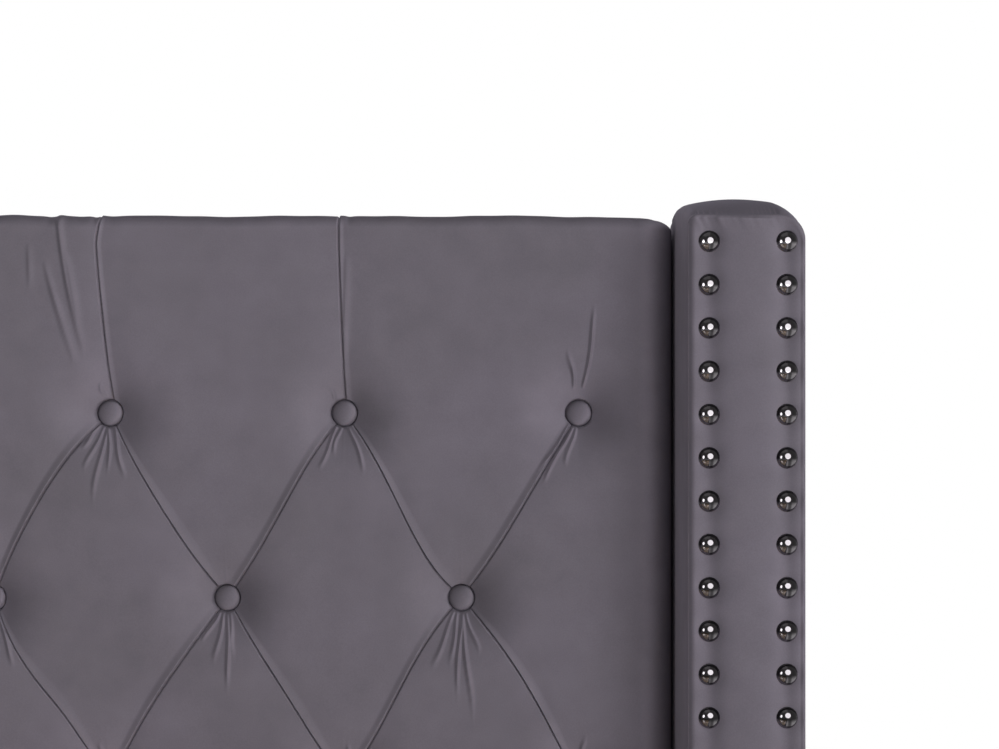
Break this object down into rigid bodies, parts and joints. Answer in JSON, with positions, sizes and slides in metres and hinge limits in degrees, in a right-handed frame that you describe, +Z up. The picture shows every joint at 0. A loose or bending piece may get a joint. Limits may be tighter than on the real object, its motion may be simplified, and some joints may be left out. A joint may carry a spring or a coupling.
{
  "type": "upholstered storage bed",
  "caption": "Wingback storage bed with diamond-tufted velvet headboard, studded wings, padded box rails and a slatted platform that lifts on gas struts.",
  "frame": {"origin": "on the floor, at the centre of the bed's overall width and length", "axes": "+Z up, +X to the right seen from the foot, +Y from the foot to the headboard"},
  "size_m": [1.8, 2.146, 1.28],
  "materials": {
    "velvet": "short-pile velvet over foam and wadding",
    "lining_cloth": "black non-woven lining",
    "timber": "planed softwood",
    "board": "engineered board",
    "floor_board": "grey faced hardboard",
    "beech": "clear lacquered beech",
    "stained_feet": "dark stained",
    "stud_chrome": "polished",
    "zinc_steel": "zinc plated",
    "black_steel": "black powder coat",
    "rod_steel": "polished",
    "black_plastic": "moulded",
    "bumper_rubber": "matt",
    "webbing": "woven"
  },
  "bodies": {
    "bed_frame": {"headboard_stiles": "timber", "headboard_crossrails": "timber", "headboard_front_board": "board", "headboard_tufted_pad": "velvet", "headboard_buttons": "velvet", "headboard_button_ties": "webbing", "headboard_apron": "velvet", "headboard_rear_cover": "lining_cloth", "headboard_glides": "black_plastic", "left_wing_frame": "board", "right_wing_frame": "board", "left_wing_cover": "velvet", "right_wing_cover": "velvet", "wing_studs": "stud_chrome", "wing_bolts": "zinc_steel", "left_side_rail_board": "board", "right_side_rail_board": "board", "left_side_rail_cover": "velvet", "right_side_rail_cover": "velvet", "foot_rail_board": "board", "foot_rail_cover": "velvet", "rail_splice_plates": "zinc_steel", "foot_corner_brackets": "zinc_steel", "frame_bolts": "zinc_steel", "floor_ledgers": "timber", "centre_beam": "timber", "centre_beam_legs": "timber", "storage_floor_panel_1": "floor_board", "storage_floor_panel_2": "floor_board", "storage_floor_panel_3": "floor_board", "storage_floor_panel_4": "floor_board", "rail_feet": "stained_feet", "platform_rest_blocks": "timber", "platform_bumpers": "bumper_rubber", "left_hinge_plate": "black_steel", "right_hinge_plate": "black_steel", "hinge_pins": "zinc_steel"},
    "platform": {"platform_left_tube": "black_steel", "platform_right_tube": "black_steel", "platform_head_tube": "black_steel", "platform_foot_tube": "black_steel", "platform_centre_tube": "black_steel", "platform_cross_tubes": "black_steel", "tube_end_plugs": "black_plastic", "side_slat_caps": "black_plastic", "centre_slat_caps": "black_plastic", "left_slats": "beech", "right_slats": "beech", "left_lift_arm": "black_steel", "right_lift_arm": "black_steel", "pull_strap": "webbing"},
    "left_lift_crank": {"left_lift_crank": "black_steel"},
    "right_lift_crank": {"right_lift_crank": "black_steel"},
    "left_lift_link": {"left_lift_link": "black_steel"},
    "right_lift_link": {"right_lift_link": "black_steel"},
    "left_gas_cylinder": {"left_gas_cylinder": "black_steel"},
    "right_gas_cylinder": {"right_gas_cylinder": "black_steel"},
    "left_gas_rod": {"left_gas_rod": "rod_steel"},
    "right_gas_rod": {"right_gas_rod": "rod_steel"}
  },
  "joints": [
    {"name": "platform_tilt", "type": "hinge", "parent": "left_lift_crank", "child": "platform", "pos_m": [-0.774, 0.649, 0.2923], "axis": [-1, 0, 0], "range_deg": [0, 91]},
    {"name": "left_crank_turn", "type": "hinge", "parent": "bed_frame", "child": "left_lift_crank", "pos_m": [-0.783, 0.519, 0.202], "axis": [1, 0, 0], "range_deg": [0, 60.2]},
    {"name": "left_link_turn", "type": "hinge", "parent": "bed_frame", "child": "left_lift_link", "pos_m": [-0.7785, 0.4746, 0.1103], "axis": [1, 0, 0], "range_deg": [0, 49.5]},
    {"name": "left_cylinder_swing", "type": "hinge", "parent": "bed_frame", "child": "left_gas_cylinder", "pos_m": [-0.795, 0.6305, 0.08965], "axis": [1, 0, 0], "range_deg": [0, 30.2]},
    {"name": "left_rod_swing", "type": "hinge", "parent": "left_lift_crank", "child": "left_gas_rod", "pos_m": [-0.795, 0.649, 0.2923], "axis": [-1, 0, 0], "range_deg": [0, 30.2]},
    {"name": "right_crank_turn", "type": "hinge", "parent": "bed_frame", "child": "right_lift_crank", "pos_m": [0.783, 0.519, 0.202], "axis": [1, 0, 0], "range_deg": [0, 60.2]},
    {"name": "right_link_turn", "type": "hinge", "parent": "bed_frame", "child": "right_lift_link", "pos_m": [0.7785, 0.4746, 0.1103], "axis": [1, 0, 0], "range_deg": [0, 49.5]},
    {"name": "right_cylinder_swing", "type": "hinge", "parent": "bed_frame", "child": "right_gas_cylinder", "pos_m": [0.795, 0.6305, 0.08965], "axis": [1, 0, 0], "range_deg": [0, 30.2]},
    {"name": "right_rod_swing", "type": "hinge", "parent": "right_lift_crank", "child": "right_gas_rod", "pos_m": [0.795, 0.649, 0.2923], "axis": [-1, 0, 0], "range_deg": [0, 30.2]}
  ],
  "couplings": [
    {"joint": "left_crank_turn", "follows": "platform_tilt", "ratio": 0.65963},
    {"joint": "left_link_turn", "follows": "platform_tilt", "ratio": 0.53958},
    {"joint": "left_cylinder_swing", "follows": "platform_tilt", "ratio": 0.32982},
    {"joint": "left_rod_swing", "follows": "platform_tilt", "ratio": 0.32982},
    {"joint": "right_crank_turn", "follows": "platform_tilt", "ratio": 0.65963},
    {"joint": "right_link_turn", "follows": "platform_tilt", "ratio": 0.53958},
    {"joint": "right_cylinder_swing", "follows": "platform_tilt", "ratio": 0.32982},
    {"joint": "right_rod_swing", "follows": "platform_tilt", "ratio": 0.32982}
  ]
}
